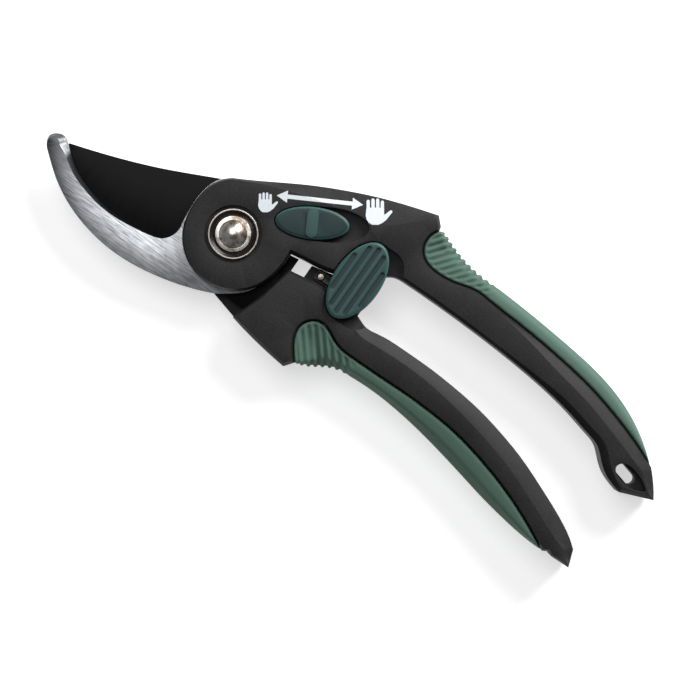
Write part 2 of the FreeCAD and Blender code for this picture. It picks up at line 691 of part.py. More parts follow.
cutCircles(lowerHandle, "back_pivot_hole", [(0, 0, f"{sleeveRadius} + dims.fit_gap")], bladeBack, cheekBack)
# Room for the spring: round the sleeve, with a window for the moving leg and a slot for the fixed one.
roomRadius = size("dims.coil_radius + 3 * dims.wire_radius")
fixedLegLength = 3.2
windowStart = legAngle - 8
windowEnd = legAngle + size("dims.open_angle") + 6
slotHalf = 2 * size("dims.wire_radius")
slotTurn = math.degrees(math.asin(slotHalf / roomRadius))
slotBottom = -roomRadius - fixedLegLength
springRoom = cornered(arcKnots(cheekRadius + 2, windowStart, windowEnd, 3))
springRoom += cornered(arcKnots(roomRadius, windowEnd, 270 - slotTurn, 8))
springRoom += [corner(-slotHalf, slotBottom), corner(slotHalf, slotBottom)]
springRoom += cornered(arcKnots(roomRadius, 270 + slotTurn, 360 + windowStart, 8))
cutRing(lowerHandle, "spring_room", springRoom, bladeBack, springLevel)

# ---------------------------------------------------------------- grips

gripFront = f"({face} - dims.grip_sink)"
gripShoulder = f"({face} - dims.grip_shoulder)"
for name, ring in (("upper_grip", upperGripRing), ("lower_grip", lowerGripRing)):
    leaned = inset(ring)
    loft(newBody(name), f"{name}_shell", [
        (leaned, "dims.grip_sink"), (ring, "dims.grip_shoulder"), (ring, gripShoulder), (leaned, gripFront)])

# ---------------------------------------------------------------- blades

hookBlade = newBody("hook_blade")
loft(hookBlade, "hook_plate", [
    (hookRing, hookBack), (hookRing, f"({hookBack} + 1.0)"), (inset(hookRing), hookFront)])
cutCircles(hookBlade, "hook_pivot_hole", [(0, 0, f"{sleeveRadius} + dims.running_gap")], hookFront, hookBack)
cutCircles(hookBlade, "hook_screw_holes", upperScrewHoles, hookFront, hookBack)
keeperRoom = slotCurves(sliderMiddleX, sliderMiddleY, size("dims.keeper_length") + sliderTravel + 2 * slide,
                        size("dims.keeper_width") + 2 * slide, sliderAngle)
pocket(hookBlade, "keeper_slot", curveSketch(hookBlade, "keeper_slot_outline", keeperRoom, hookFront),
       hookFront, hookBack)

cuttingBlade = newBody("cutting_blade")
loft(cuttingBlade, "blade_plate", [
    (inset(bladeRing), bladeBack), (bladeRing, f"({bladeFront} - 0.3)"), (bladeRing, bladeFront)])
cutCircles(cuttingBlade, "blade_pivot_hole", [(0, 0, f"{sleeveRadius} + dims.fit_gap")], bladeFront, bladeBack)
cutCircles(cuttingBlade, "blade_screw_holes", lowerScrewHoles, bladeFront, bladeBack)

# ---------------------------------------------------------------- pivot

boltRadius = size("dims.bolt_radius")
flangeRadius = size("dims.flange_radius")
domeRadius = size("dims.dome_radius")
flangeBase = size(f"{cupSeat} + dims.running_gap * 2 + dims.cup_height")
flangeTop = flangeBase + size("dims.flange_height")
domeHeight = size("dims.dome_height")
domeTop = flangeTop + domeHeight
domeSphere = (domeRadius ** 2 + domeHeight ** 2) / (2 * domeHeight)
halfDome = math.asin(domeRadius / domeSphere) / 2
domeMiddle = (domeSphere * math.sin(halfDome), domeTop - domeSphere * (1 - math.cos(halfDome)))
turned("pivot_bolt", [
    (0.0, 0.0), (boltRadius, 0.0), (boltRadius, flangeBase), (flangeRadius, flangeBase),
    (flangeRadius, flangeTop), (domeRadius, flangeTop), (0.0, domeTop)],
    {5: domeMiddle})
sleeveTop = f"({cupSeat} + dims.running_gap * 2)"
ringPiece("pivot_sleeve", sleeveRadius, "(dims.bolt_radius + dims.fit_gap)", cheekBack, sleeveTop)
cupRadius = size("dims.cup_radius")
cupBase = size(sleeveTop)
cupHeight = size("dims.cup_height")
cupBore = boltRadius + size("dims.fit_gap")
turned("cup_washer", [
    (cupBore, cupBase), (cupRadius, cupBase), (cupRadius, cupBase + cupHeight * 1.5),
    (cupRadius - 0.45, cupBase + cupHeight * 1.5), (flangeRadius + 0.4, cupBase + cupHeight * 0.7),
    (flangeRadius + 0.1, cupBase + cupHeight), (cupBore, cupBase + cupHeight)])
ringPiece("back_washer", "dims.back_washer_radius", "(dims.bolt_radius + dims.fit_gap)", nutTop, cheekBack)
nutBlock = doc.addObject("Part::Prism", "nut_block")
nutBlock.Polygon = 6
nutBlock.setExpression("Circumradius", "dims.nut_width / 1.732")
nutBlock.setExpression("Height", nutTop)
nut = cut("pivot_nut", nutBlock, cylinder("nut_bore", "(dims.bolt_radius + dims.fit_gap)", "0", nutTop))
nut.Label = "pivot_nut"

wire = size("dims.wire_radius")
coilRadius = size("dims.coil_radius")
springBase = size(springLevel) + wire + 0.02
coilTurns = 1.0 + (90 + legAngle) / 360
coilPitch = 2.15 * wire
helix = Part.makeHelix(coilPitch, coilPitch * coilTurns, coilRadius)
start = Part.Wire(Part.makeCircle(wire, vector(coilRadius, 0), vector(0, 1, 0)))
coil = Part.Wire(helix.Edges).makePipeShell([start], True, True)
coil.rotate(vector(0, 0), vector(0, 0, 1), -90)
fixedLeg = Part.makeCylinder(wire, fixedLegLength, vector(0, -coilRadius + 0.1), vector(0, -1, 0))
movingLeg = Part.makeCylinder(
    wire, legReach - coilRadius + 0.6, vector(coilRadius - 0.1, 0, coilPitch * coilTurns), vector(1, 0, 0))
movingLeg.rotate(vector(0, 0), vector(0, 0, 1), legAngle)
spring = doc.addObject("Part::Feature", "opening_spring")
spring.Shape = coil.fuse([fixedLeg, movingLeg])
spring.Placement = FreeCAD.Placement(vector(0, 0, springBase), FreeCAD.Rotation())
spring.Label = "opening_spring"

# ---------------------------------------------------------------- screws

hookScrews = [tangScrew(f"hook_screw{number}", str(x), str(y), hookFront)
              for number, (x, y) in enumerate(upperScrews, start=1)]
group("hook_screws", hookScrews)
bladeScrews = [tangScrew(f"blade_screw{number}", str(x), str(y), bladeFront)
               for number, (x, y) in enumerate(lowerScrews, start=1)]
group("blade_screws", bladeScrews)

# ---------------------------------------------------------------- size slider


def oval(body, name, halfLength, halfWidth, level):
    """Oval sketch with its long axis along X."""
    sketch = newSketch(body, name, level=level)
    sketch.addGeometry(Part.Ellipse(vector(0, 0), halfLength, halfWidth), False)
    return sketch


def roundTop(body, name, radiusExpression):
    """Rounds the outer edge of the highest face."""
    shape = body.Shape
    highest = max(shape.Faces, key=lambda item: item.CenterOfMass.z)
    edges = []
    for edge in highest.Edges:
        number = next(index for index, item in enumerate(shape.Edges, start=1) if item.isSame(edge))
        edges.append(f"Edge{number}")
    base = body.Tip
    feature = body.newObject("PartDesign::Fillet", name)
    feature.Base = (base, edges)
    feature.setExpression("Radius", radiusExpression)
    doc.recompute()
    return feature


sliderHalf = size("dims.slider_length") / 2
sliderHalfWidth = size("dims.slider_width") / 2
sliderBottom = f"({sliderFloor} + dims.layer_gap)"
sliderTop = f"({face} + dims.slider_proud)"
slider = newBody("size_slider")
pad(slider, "slider_oval", oval(slider, "slider_outline", sliderHalf, sliderHalfWidth, sliderBottom),
    sliderBottom, sliderTop)
roundTop(slider, "slider_round", "dims.slider_rounding")
ridgeBase = f"({sliderTop} - dims.slider_rounding)"
ridgeLength = size("dims.slider_width") - size("dims.slider_rounding")
ridge = slotCurves(0.0, 0.0, ridgeLength, size("dims.ridge_width"), 90.0)
pad(slider, "slider_ridge", curveSketch(slider, "slider_ridge_outline", ridge, ridgeBase),
    ridgeBase, f"({sliderTop} + dims.ridge_height)")
stemBottom = f"({hookFront} - dims.layer_gap - dims.keeper_thickness)"
stemTop = f"({sliderFloor} + 1.0)"
stemSketch = circleSketch(slider, "slider_stem_outline", [(0, 0, "dims.stem_radius")], stemBottom)
pad(slider, "slider_stem", stemSketch, stemBottom, stemTop)
cutCircles(slider, "slider_thread", [(0, 0, "dims.slider_screw_radius")], f"({stemTop} + 0.4)", stemBottom)
slider.Placement = FreeCAD.Placement(vector(sliderX, sliderY), FreeCAD.Rotation(vector(0, 0, 1), sliderAngle))

keeper = newBody("slider_keeper")
keeperTop = f"({hookFront} - dims.layer_gap)"
keeperPlate = slotCurves(0.0, 0.0, size("dims.keeper_length"), size("dims.keeper_width"), 0.0)
keeperSketch = curveSketch(keeper, "keeper_outline", keeperPlate, stemBottom)
pad(keeper, "keeper_plate", keeperSketch, stemBottom, keeperTop)
cutCircles(keeper, "keeper_hole", [(0, 0, "dims.stem_radius + dims.fit_gap")], keeperTop, stemBottom)
keeper.Placement = slider.Placement

screwHeadBottom = f"({hookBack} + 0.3)"
sliderScrew = doc.addObject("Part::Fuse", "slider_screw")
sliderScrew.Base = cylinder("slider_screw_head", "dims.slider_screw_head_radius", screwHeadBottom, stemBottom)
sliderScrew.Tool = cylinder("slider_screw_shank", "dims.slider_screw_radius", stemBottom, f"({stemTop} + 0.2)")
sliderScrew.Placement = slider.Placement
sliderScrew.Label = "slider_screw"

# ---------------------------------------------------------------- lock

lockBottom = f"({lockFloor} + 0.3)"
lockTop = f"({face} + dims.lock_proud)"
lock = newBody("lock_button")
pad(lock, "lock_oval",
    oval(lock, "lock_outline", size("dims.lock_length") / 2, size("dims.lock_width") / 2, lockBottom),
    lockBottom, lockTop)
roundTop(lock, "lock_round", "dims.lock_rounding")
grooveReach = size("dims.lock_length / 2 - dims.groove_border")
grooveSpread = size("dims.lock_width / 2 - dims.groove_border")
groovePitch = size("dims.groove_pitch")
grooveWidth = size("dims.groove_width")
groovePairs = int((grooveSpread - grooveWidth / 2) / groovePitch)
for index in range(-groovePairs, groovePairs + 1):
    place = index * groovePitch
    length = 2 * grooveReach * math.sqrt(1 - (place / grooveSpread) ** 2)
    groove = slotCurves(0.0, place, length, grooveWidth, 0.0)
    name = f"lock_groove{index + groovePairs + 1}"
    pocket(lock, name, curveSketch(lock, f"{name}_outline", groove, lockTop), lockTop,
           f"({lockTop} - dims.groove_depth)")
stem = rectangle(stemY - lockY, lockX - stemX, stemWidth - 0.6, stemWidth)
pad(lock, "lock_stem", curveSketch(lock, "lock_stem_outline", ringCurves(stem), catchTop), catchTop,
    f"({lockBottom} + 1.0)")
cutCircles(lock, "lock_thread", [(stemY - lockY, lockX - stemX, "dims.lock_screw_radius")],
           f"({lockBottom} + 1.2)", catchTop)
lock.Placement = FreeCAD.Placement(vector(lockX, lockY), FreeCAD.Rotation(vector(0, 0, 1), 90))

catch = newBody("lock_catch")
catchRing = rectangle((catchReach + catchEnd) / 2, stemY, catchEnd - catchReach, catchWidth)
pad(catch, "catch_plate", curveSketch(catch, "catch_outline", ringCurves(catchRing), catchBottom),
    catchBottom, catchTop)
catchHoles = [
    (stemX, stemY, "dims.lock_screw_radius + dims.fit_gap"), (pinX, stemY, "dims.pin_radius + dims.fit_gap")]
cutCircles(catch, "catch_holes", catchHoles, catchTop, catchBottom)

pin = cylinder("catch_pin", "dims.pin_radius", catchBottom, pinTop, str(pinX), str(stemY))
pin.Label = "catch_pin"
lockScrew = doc.addObject("Part::Fuse", "lock_screw")
screwHead = f"({catchBottom} - dims.lock_screw_head_height)"
lockScrew.Base = cylinder(
    "lock_screw_head", "dims.lock_screw_head_radius", screwHead, catchBottom, str(stemX), str(stemY))
lockScrew.Tool = cylinder(
    "lock_screw_shank", "dims.lock_screw_radius", catchBottom, f"({lockBottom} + 1.0)", str(stemX), str(stemY))
lockScrew.Label = "lock_screw"

# ---------------------------------------------------------------- check and export

doc.recompute()
nodes = [
    "lower_handle", "lower_grip", "cutting_blade", "blade_screws", "pivot_bolt", "pivot_sleeve",
    "cup_washer", "back_washer", "pivot_nut", "opening_spring", "upper_handle", "upper_grip",
    "hook_blade", "hook_screws", "size_slider", "slider_keeper", "slider_screw", "lock_button",
    "lock_catch", "catch_pin", "lock_screw",
]
for item in doc.Objects:
    if "Invalid" in item.State or "Error" in item.State:
        raise RuntimeError(f"{item.Name} failed: {item.State}")
os.makedirs("parts", exist_ok=True)
for name in nodes:
    shape = doc.getObjectsByLabel(name)[0].Shape
    if shape.isNull() or not shape.isValid():
        raise RuntimeError(f"{name} has no valid shape")
    shape.exportStep(f"parts/{name}.step")
    print(name, len(shape.Solids), round(shape.Volume, 1))
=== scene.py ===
import json
import math

import bmesh
import bpy
from mathutils import Matrix, Vector
from mathutils.bvhtree import BVHTree


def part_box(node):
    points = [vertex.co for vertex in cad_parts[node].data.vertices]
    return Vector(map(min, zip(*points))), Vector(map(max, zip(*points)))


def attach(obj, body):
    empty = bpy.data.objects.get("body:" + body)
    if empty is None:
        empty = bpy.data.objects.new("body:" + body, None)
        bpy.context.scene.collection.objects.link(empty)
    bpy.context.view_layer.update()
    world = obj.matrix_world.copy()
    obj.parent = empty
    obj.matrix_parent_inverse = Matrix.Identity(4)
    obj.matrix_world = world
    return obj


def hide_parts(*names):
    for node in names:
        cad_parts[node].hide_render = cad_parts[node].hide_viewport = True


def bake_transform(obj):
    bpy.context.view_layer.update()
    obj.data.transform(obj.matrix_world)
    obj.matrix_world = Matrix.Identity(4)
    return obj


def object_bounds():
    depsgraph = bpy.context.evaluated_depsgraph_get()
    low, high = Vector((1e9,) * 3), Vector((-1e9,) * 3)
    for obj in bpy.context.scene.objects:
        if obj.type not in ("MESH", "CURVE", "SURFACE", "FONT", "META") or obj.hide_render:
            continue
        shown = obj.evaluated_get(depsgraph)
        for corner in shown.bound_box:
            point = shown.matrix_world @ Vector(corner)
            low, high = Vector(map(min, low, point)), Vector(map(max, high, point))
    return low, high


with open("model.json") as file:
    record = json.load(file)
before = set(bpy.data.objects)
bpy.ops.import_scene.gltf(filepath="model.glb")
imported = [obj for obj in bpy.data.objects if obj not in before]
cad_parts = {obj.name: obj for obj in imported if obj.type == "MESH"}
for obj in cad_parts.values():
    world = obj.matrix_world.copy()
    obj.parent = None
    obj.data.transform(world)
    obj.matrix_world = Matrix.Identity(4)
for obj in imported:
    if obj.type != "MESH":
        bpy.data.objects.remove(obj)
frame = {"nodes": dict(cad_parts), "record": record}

nodes = frame["nodes"]
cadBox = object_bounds()
mm = 0.001
print("frame loaded")


class Field:
    # a shader socket that can stand in an expression
    def __init__(self, graph, socket):
        self.graph = graph
        self.socket = socket

    def combine(self, operation, other, swapped=False):
        first, second = (other, self) if swapped else (self, other)
        return self.graph.node("ShaderNodeMath", {"operation": operation}, {0: first, 1: second})

    def __add__(self, other):
        return self.combine("ADD", other)

    def __radd__(self, other):
        return self.combine("ADD", other, True)

    def __sub__(self, other):
        return self.combine("SUBTRACT", other)

    def __rsub__(self, other):
        return self.combine("SUBTRACT", other, True)

    def __mul__(self, other):
        return self.combine("MULTIPLY", other)

    def __rmul__(self, other):
        return self.combine("MULTIPLY", other, True)

    def __pow__(self, other):
        return self.combine("POWER", other)


class Graph:
    # one material with its principled shader
    def __init__(self, name, **constants):
        self.material = bpy.data.materials.new(name)
        self.material.use_nodes = True
        self.tree = self.material.node_tree
        self.shader = next(item for item in self.tree.nodes if item.type == "BSDF_PRINCIPLED")
        self.feed(self.shader, constants)

    def feed(self, target, inputs):
        for key, value in inputs.items():
            socket = target.inputs[key]
            if isinstance(value, Field):
                self.tree.links.new(value.socket, socket)
            elif socket.type == "RGBA" and len(value) == 3:
                socket.default_value = (*value, 1.0)
            else:
                socket.default_value = value

    def node(self, kind, settings=None, inputs=None, output=0):
        made = self.tree.nodes.new(kind)
        for key, value in (settings or {}).items():
            setattr(made, key, value)
        self.feed(made, inputs or {})
        return Field(self, made.outputs[output])

    def place(self):
        return self.node("ShaderNodeTexCoord", output="Object")

    def axis(self, name):
        return self.node("ShaderNodeSeparateXYZ", None, {0: self.place()}, name)

    def facing(self, name, source="True Normal"):
        normal = self.node("ShaderNodeNewGeometry", output=source)
        return self.node("ShaderNodeSeparateXYZ", None, {0: normal}, name)

    def stretched(self, scale):
        return self.node("ShaderNodeVectorMath", {"operation": "MULTIPLY"}, {0: self.place(), 1: scale})

    def noise(self, scale, detail=3.0, roughness=0.5, vector=None):
        inputs = {"Scale": scale, "Detail": detail, "Roughness": roughness}
        inputs["Vector"] = self.place() if vector is None else vector
        return self.node("ShaderNodeTexNoise", None, inputs)

    def between(self, factor, low, high):
        return factor * (high - low) + low

    def mix(self, factor, first, second):
        return self.node("ShaderNodeMix", {"data_type": "RGBA"}, {0: factor, 6: first, 7: second}, 2)

    def step(self, value, start, end):
        settings = {"interpolation_type": "SMOOTHSTEP"}
        inputs = {"Value": value, "From Min": start, "From Max": end}
        return self.node("ShaderNodeMapRange", settings, inputs)

    def bump(self, height, depth, strength=1.0):
        inputs = {"Height": height, "Distance": depth, "Strength": strength}
        self.surface(Normal=self.node("ShaderNodeBump", None, inputs))

    def surface(self, **inputs):
        self.feed(self.shader, {key.replace("_", " "): value for key, value in inputs.items()})


# Materials

nylonFinish = {"dark": (0.0075, 0.0075, 0.0082), "light": (0.0225, 0.0225, 0.0238), "grainScale": 2600.0,
               "grainDepth": 0.07 * mm, "blotchScale": 60.0}


def mouldedNylon():
    graph = Graph("moulded_nylon", **{"Specular IOR Level": 0.28})
    blotch = graph.noise(nylonFinish["blotchScale"], 4.0, 0.6)
    grain = graph.noise(nylonFinish["grainScale"], 2.0, 0.6)
    tone = graph.step(grain * 0.65 + blotch * 0.35, 0.32, 0.68)
    graph.surface(Base_Color=graph.mix(tone, nylonFinish["dark"], nylonFinish["light"]),
                  Roughness=graph.between(grain * 0.6 + blotch * 0.4, 0.46, 0.64))
    graph.bump(grain, nylonFinish["grainDepth"], 0.5)
    return graph.material


gripFinish = {"dark": (0.066, 0.125, 0.098), "light": (0.086, 0.158, 0.124),
              "grooveShadeTint": (0.028, 0.055, 0.044), "blotchScale": 90.0,
              "grainScale": 5200.0, "grainDepth": 0.04 * mm}


def softRubber():
    graph = Graph("soft_rubber", **{"Specular IOR Level": 0.3})
    blotch = graph.noise(gripFinish["blotchScale"], 5.0, 0.6)
    grain = graph.noise(gripFinish["grainScale"], 2.0, 0.55)
    body = graph.mix(blotch, gripFinish["dark"], gripFinish["light"])
    # painted shade: the grooves between the ribs, found by low pointiness, are tinted darker
    point = graph.node("ShaderNodeNewGeometry", output="Pointiness")
    groove = 1 - graph.step(point, 0.42, 0.5)
    graph.surface(Base_Color=graph.mix(groove * 0.7, body, gripFinish["grooveShadeTint"]),
                  Roughness=graph.between(grain, 0.58, 0.74))
    graph.bump(grain, gripFinish["grainDepth"], 0.5)
    return graph.material


groundFinish = {"dark": (0.2, 0.206, 0.222), "light": (0.66, 0.675, 0.705), "edge": (0.05, 0.052, 0.057),
                "alongScale": 170.0, "acrossScale": 4800.0, "cloudScale": 70.0, "scratchDepth": 0.03 * mm,
                "tipFacet": 7.0, "tipShadeTone": (0.06, 0.062, 0.067), "tipShadeReach": 30.0}


def groundSteel():
    # ground lengthwise: long streaks along X, finer scratches on top
    graph = Graph("ground_steel", Metallic=1.0)
    along = groundFinish["alongScale"]
    across = groundFinish["acrossScale"]
    streak = graph.noise(1.0, 3.0, 0.6, graph.stretched((along, across * 0.55, across * 0.55)))
    scratch = graph.noise(1.0, 2.0, 0.6, graph.stretched((along * 1.6, across, across)))
    cloud = graph.noise(groundFinish["cloudScale"], 2.0, 0.5)
    tone = graph.step(streak * 0.4 + scratch * 0.46 + cloud * 0.14, 0.32, 0.68)
    lean = graph.facing("Z")
    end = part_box("hook_blade")[0].x
    tip = end + groundFinish["tipFacet"] * mm
    # side walls that do not face up, away from the tip, get the near-black edge colour
    edge = (1 - graph.step(lean, 0.9, 0.99)) * graph.step(graph.axis("X"), tip, tip + 2 * mm)
    ground = graph.mix(tone, groundFinish["dark"], groundFinish["light"])
    # painted shade: darker towards the tip, except on the facet that faces the pivot, which keeps the lit
    # ground tone
    near = 1 - graph.step(graph.axis("X"), end, end + groundFinish["tipShadeReach"] * mm)
    tipShadeMask = near * (1 - graph.step(graph.facing("X"), 0.1, 0.4))
    ground = graph.mix(tipShadeMask * 0.9, ground, groundFinish["tipShadeTone"])
    graph.surface(Base_Color=graph.mix(edge, ground, groundFinish["edge"]),
                  Roughness=graph.between(streak, 0.52, 0.3))
    graph.bump(scratch * 0.6 + streak * 0.4, groundFinish["scratchDepth"], 0.6)
    return graph.material


bladeFinish = {"coat": (0.001, 0.001, 0.0012), "worn": (0.0028, 0.0028, 0.0031),
               "groundDark": (0.4, 0.41, 0.43), "groundLight": (0.7, 0.71, 0.73), "cloudScale": 130.0,
               "peelScale": 1500.0, "peelDepth": 0.02 * mm, "grindScale": (900.0, 90.0, 90.0)}


def coatedBlade():
    # black coat with a ground bevel on the back of the cutting edge
    graph = Graph("coated_blade", **{"Specular IOR Level": 0.1})
    cloud = graph.noise(bladeFinish["cloudScale"], 5.0, 0.65)
    peel = graph.noise(bladeFinish["peelScale"], 2.0, 0.5)
    lean = graph.facing("Z")
    bevel = graph.step(lean, -0.985, -0.96) * (1 - graph.step(lean, -0.45, -0.3))
    scratch = graph.noise(1.0, 4.0, 0.7, graph.stretched(bladeFinish["grindScale"]))
    steel = graph.mix(scratch, bladeFinish["groundDark"], bladeFinish["groundLight"])
    coat = graph.mix(cloud, bladeFinish["coat"], bladeFinish["worn"])
    graph.surface(Base_Color=graph.mix(bevel, coat, steel), Metallic=bevel,
                  Roughness=graph.between(cloud * 0.5 + peel * 0.5, 0.34, 0.46))
    graph.bump(peel, bladeFinish["peelDepth"], 0.4)
    return graph.material


boltFinish = {"brownReflection": (0.3, 0.225, 0.17), "bright": (0.86, 0.83, 0.78), "patchScale": 330.0,
              "wearScale": 2400.0, "wearDepth": 0.02 * mm}


def polishedSteel():
    # bright steel with brownish patches, a painted reflection of dark surroundings
    graph = Graph("polished_steel", Metallic=1.0)
    patch = graph.noise(boltFinish["patchScale"], 3.0, 0.55)
    wear = graph.noise(boltFinish["wearScale"], 3.0, 0.6)
    tone = graph.step(patch * 0.8 + wear * 0.2, 0.38, 0.56)
    graph.surface(Base_Color=graph.mix(tone, boltFinish["brownReflection"], boltFinish["bright"]),
                  Roughness=graph.between(patch * 0.5 + wear * 0.5, 0.42, 0.24))
    graph.bump(wear, boltFinish["wearDepth"], 0.4)
    return graph.material


wornFinish = {
    "plated_steel": {"metal": 1.0, "wear": 700.0, "dark": (0.3, 0.3, 0.31), "light": (0.55, 0.55, 0.56),
                     "rough": (0.28, 0.48)},
    "blackened_steel": {"metal": 0.6, "wear": 900.0, "dark": (0.008, 0.008, 0.009),
                        "light": (0.03, 0.028, 0.027), "rough": (0.3, 0.5)},
    "wearDepth": 0.02 * mm,
}


def wornSteel(name):
    finish = wornFinish[name]
    graph = Graph(name, Metallic=finish["metal"])
    wear = graph.noise(finish["wear"], 5.0, 0.7)
    graph.surface(Base_Color=graph.mix(wear, finish["dark"], finish["light"]),
                  Roughness=graph.between(wear, *finish["rough"]))
    graph.bump(wear, wornFinish["wearDepth"], 0.4)
    return graph.material


rimFinish = {"dishDark": (0.006, 0.005, 0.005), "dishLight": (0.03, 0.024, 0.022),
             "rimHighlightDark": (0.3, 0.27, 0.25), "rimHighlightLight": (0.5, 0.46, 0.43), "rimHighlightStart": 0.6, "rimHighlightFull": 0.4,
             "wearScale": 900.0, "wearDepth": 0.02 * mm}


def rimmedWasher():
    # dark dish with a bright rim, which is a painted highlight mottled by wear noise
    graph = Graph("rimmed_washer")
    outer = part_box("cup_washer")[1].x
    x = graph.axis("X")
    y = graph.axis("Y")
    radius = (x * x + y * y) ** 0.5
    # painted highlight: a bright ring along the outer rim
    rim = graph.step(radius, outer - rimFinish["rimHighlightStart"] * mm, outer - rimFinish["rimHighlightFull"] * mm)
    wear = graph.noise(rimFinish["wearScale"], 5.0, 0.7)
    dish = graph.mix(wear, rimFinish["dishDark"], rimFinish["dishLight"])
    bright = graph.mix(wear, rimFinish["rimHighlightDark"], rimFinish["rimHighlightLight"])
    graph.surface(Base_Color=graph.mix(rim, dish, bright), Metallic=graph.between(rim, 0.5, 1.0),
                  Roughness=graph.between(wear, 0.22, 0.42))
    graph.bump(wear, rimFinish["wearDepth"], 0.4)
    return graph.material


tealFinish = {"dark": (0.0035, 0.0185, 0.0215), "light": (0.0075, 0.032, 0.0345),
              "edge": (0.055, 0.145, 0.125), "cloudScale": 160.0, "grainScale": 3200.0,
              "grainDepth": 0.03 * mm, "ridgeFoot": 0.45, "ridgeTop": 0.05, "lockRub": 0.34, "sliderRub": 0.4}


def tealPlastic(name, ridgeLevel, rub):
    # faces at the ridge level are rubbed lighter, as are the edges
    graph = Graph(name, **{"Specular IOR Level": 0.4})
    cloud = graph.noise(tealFinish["cloudScale"], 5.0, 0.6)
    grain = graph.noise(tealFinish["grainScale"], 2.0, 0.5)
    lean = graph.facing("Z", "Normal")
    edge = graph.step(lean, 0.1, 0.45) * (1 - graph.step(lean, 0.8, 0.97))
    foot = ridgeLevel - tealFinish["ridgeFoot"] * mm
    top = ridgeLevel - tealFinish["ridgeTop"] * mm
    ridge = graph.step(graph.axis("Z"), foot, top) * rub
    body = graph.mix(cloud, tealFinish["dark"], tealFinish["light"])
    rubbed = edge * (0.8 - ridge) + ridge
    graph.surface(Base_Color=graph.mix(rubbed, body, tealFinish["edge"]),
                  Roughness=graph.between(cloud * 0.5 + grain * 0.5, 0.38, 0.52))
    graph.bump(grain, tealFinish["grainDepth"], 0.35)
    return graph.material


inkFinish = {"thin": (0.6, 0.68, 0.74), "full": (0.86, 0.9, 0.92), "wearScale": 1400.0,
             "wearDepth": 0.01 * mm}


def printedInk():
    graph = Graph("printed_ink")
    worn = graph.noise(inkFinish["wearScale"], 5.0, 0.7)
    graph.surface(Base_Color=graph.mix(worn, inkFinish["thin"], inkFinish["full"]),
                  Roughness=graph.between(worn, 0.4, 0.6))
    graph.bump(worn, inkFinish["wearDepth"], 0.3)
    return graph.material


finishes = {
    "nylon": mouldedNylon(), "soft_grip": softRubber(), "coated_blade": coatedBlade(),
    "ground_steel": groundSteel(), "polished_steel": polishedSteel(),
    "plain_steel": wornSteel("plated_steel"), "blackened_steel": wornSteel("blackened_steel"),
    "rim": rimmedWasher(), "ink": printedInk(),
    "teal_plastic": tealPlastic("teal_lock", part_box("lock_button")[1].z, tealFinish["lockRub"]),
    "teal_slider": tealPlastic("teal_slider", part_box("size_slider")[1].z, tealFinish["sliderRub"]),
}
print("materials made")


def dress(obj, material):
    obj.data.materials.clear()
    obj.data.materials.append(material)


# CAD nodes keep their shape and get a finish and softened edges.
creaseAngle = 13.0
weldReach = 0.002 * mm
edgeSoftness = {
    "upper_handle": 0.2, "lower_handle": 0.2, "hook_blade": 0.1, "cutting_blade": 0.06,
    "pivot_bolt": 0.12, "cup_washer": 0.08, "pivot_nut": 0.2, "back_washer": 0.1, "pivot_sleeve": 0.05,
    "hook_screws": 0.12, "blade_screws": 0.12, "size_slider": 0.22, "slider_keeper": 0.08,
    "slider_screw": 0.08, "lock_button": 0.16, "lock_catch": 0.12, "catch_pin": 0.15, "lock_screw": 0.08,
}
slotOf = {item["node"]: item["material_slot"] for item in frame["record"]["subparts"]}


def softenEdges(obj, width):
    weld = obj.modifiers.new("weld", "WELD")
    weld.merge_threshold = weldReach
    bevel = obj.modifiers.new("soft_edges", "BEVEL")
    bevel.width = width * mm
    bevel.segments = 3
    bevel.limit_method = "ANGLE"
    bevel.angle_limit = math.radians(creaseAngle)
    bevel.use_clamp_overlap = True
    bevel.harden_normals = True
    for polygon in obj.data.polygons:
        polygon.use_smooth = True


for name, width in edgeSoftness.items():
    dress(nodes[name], finishes[slotOf[name]])
    softenEdges(nodes[name], width)
dress(nodes["cup_washer"], finishes["rim"])
dress(nodes["size_slider"], finishes["teal_slider"])
print("hard pieces dressed")


# Soft grips: rounded skins over the plain CAD grips, with slanted thumb ribs.
gripShape = {
    "voxel": 0.4 * mm, "rounding": 12, "smoothing": 0.5, "border": (0.9, 1.8), "fadeOut": 5.0,
    "ribEdge": 0.25, "crown": 2.4, "crownReach": 9.0, "crownPower": 1.5,
    "upper_grip": {"body": "upper_half", "seat": "upper_handle", "angle": 52.0, "end": 76.0, "pitch": 2.0,
                   "depth": 0.6, "width": 0.42},
    "lower_grip": {"body": "lower_half", "seat": "lower_handle", "angle": -50.0, "end": 54.5, "pitch": 2.12,
                   "depth": 0.6, "width": 0.55},
}


def smoothStep(value, low, high):
    share = min(max((value - low) / (high - low), 0.0), 1.0)
    return share * share * (3 - 2 * share)


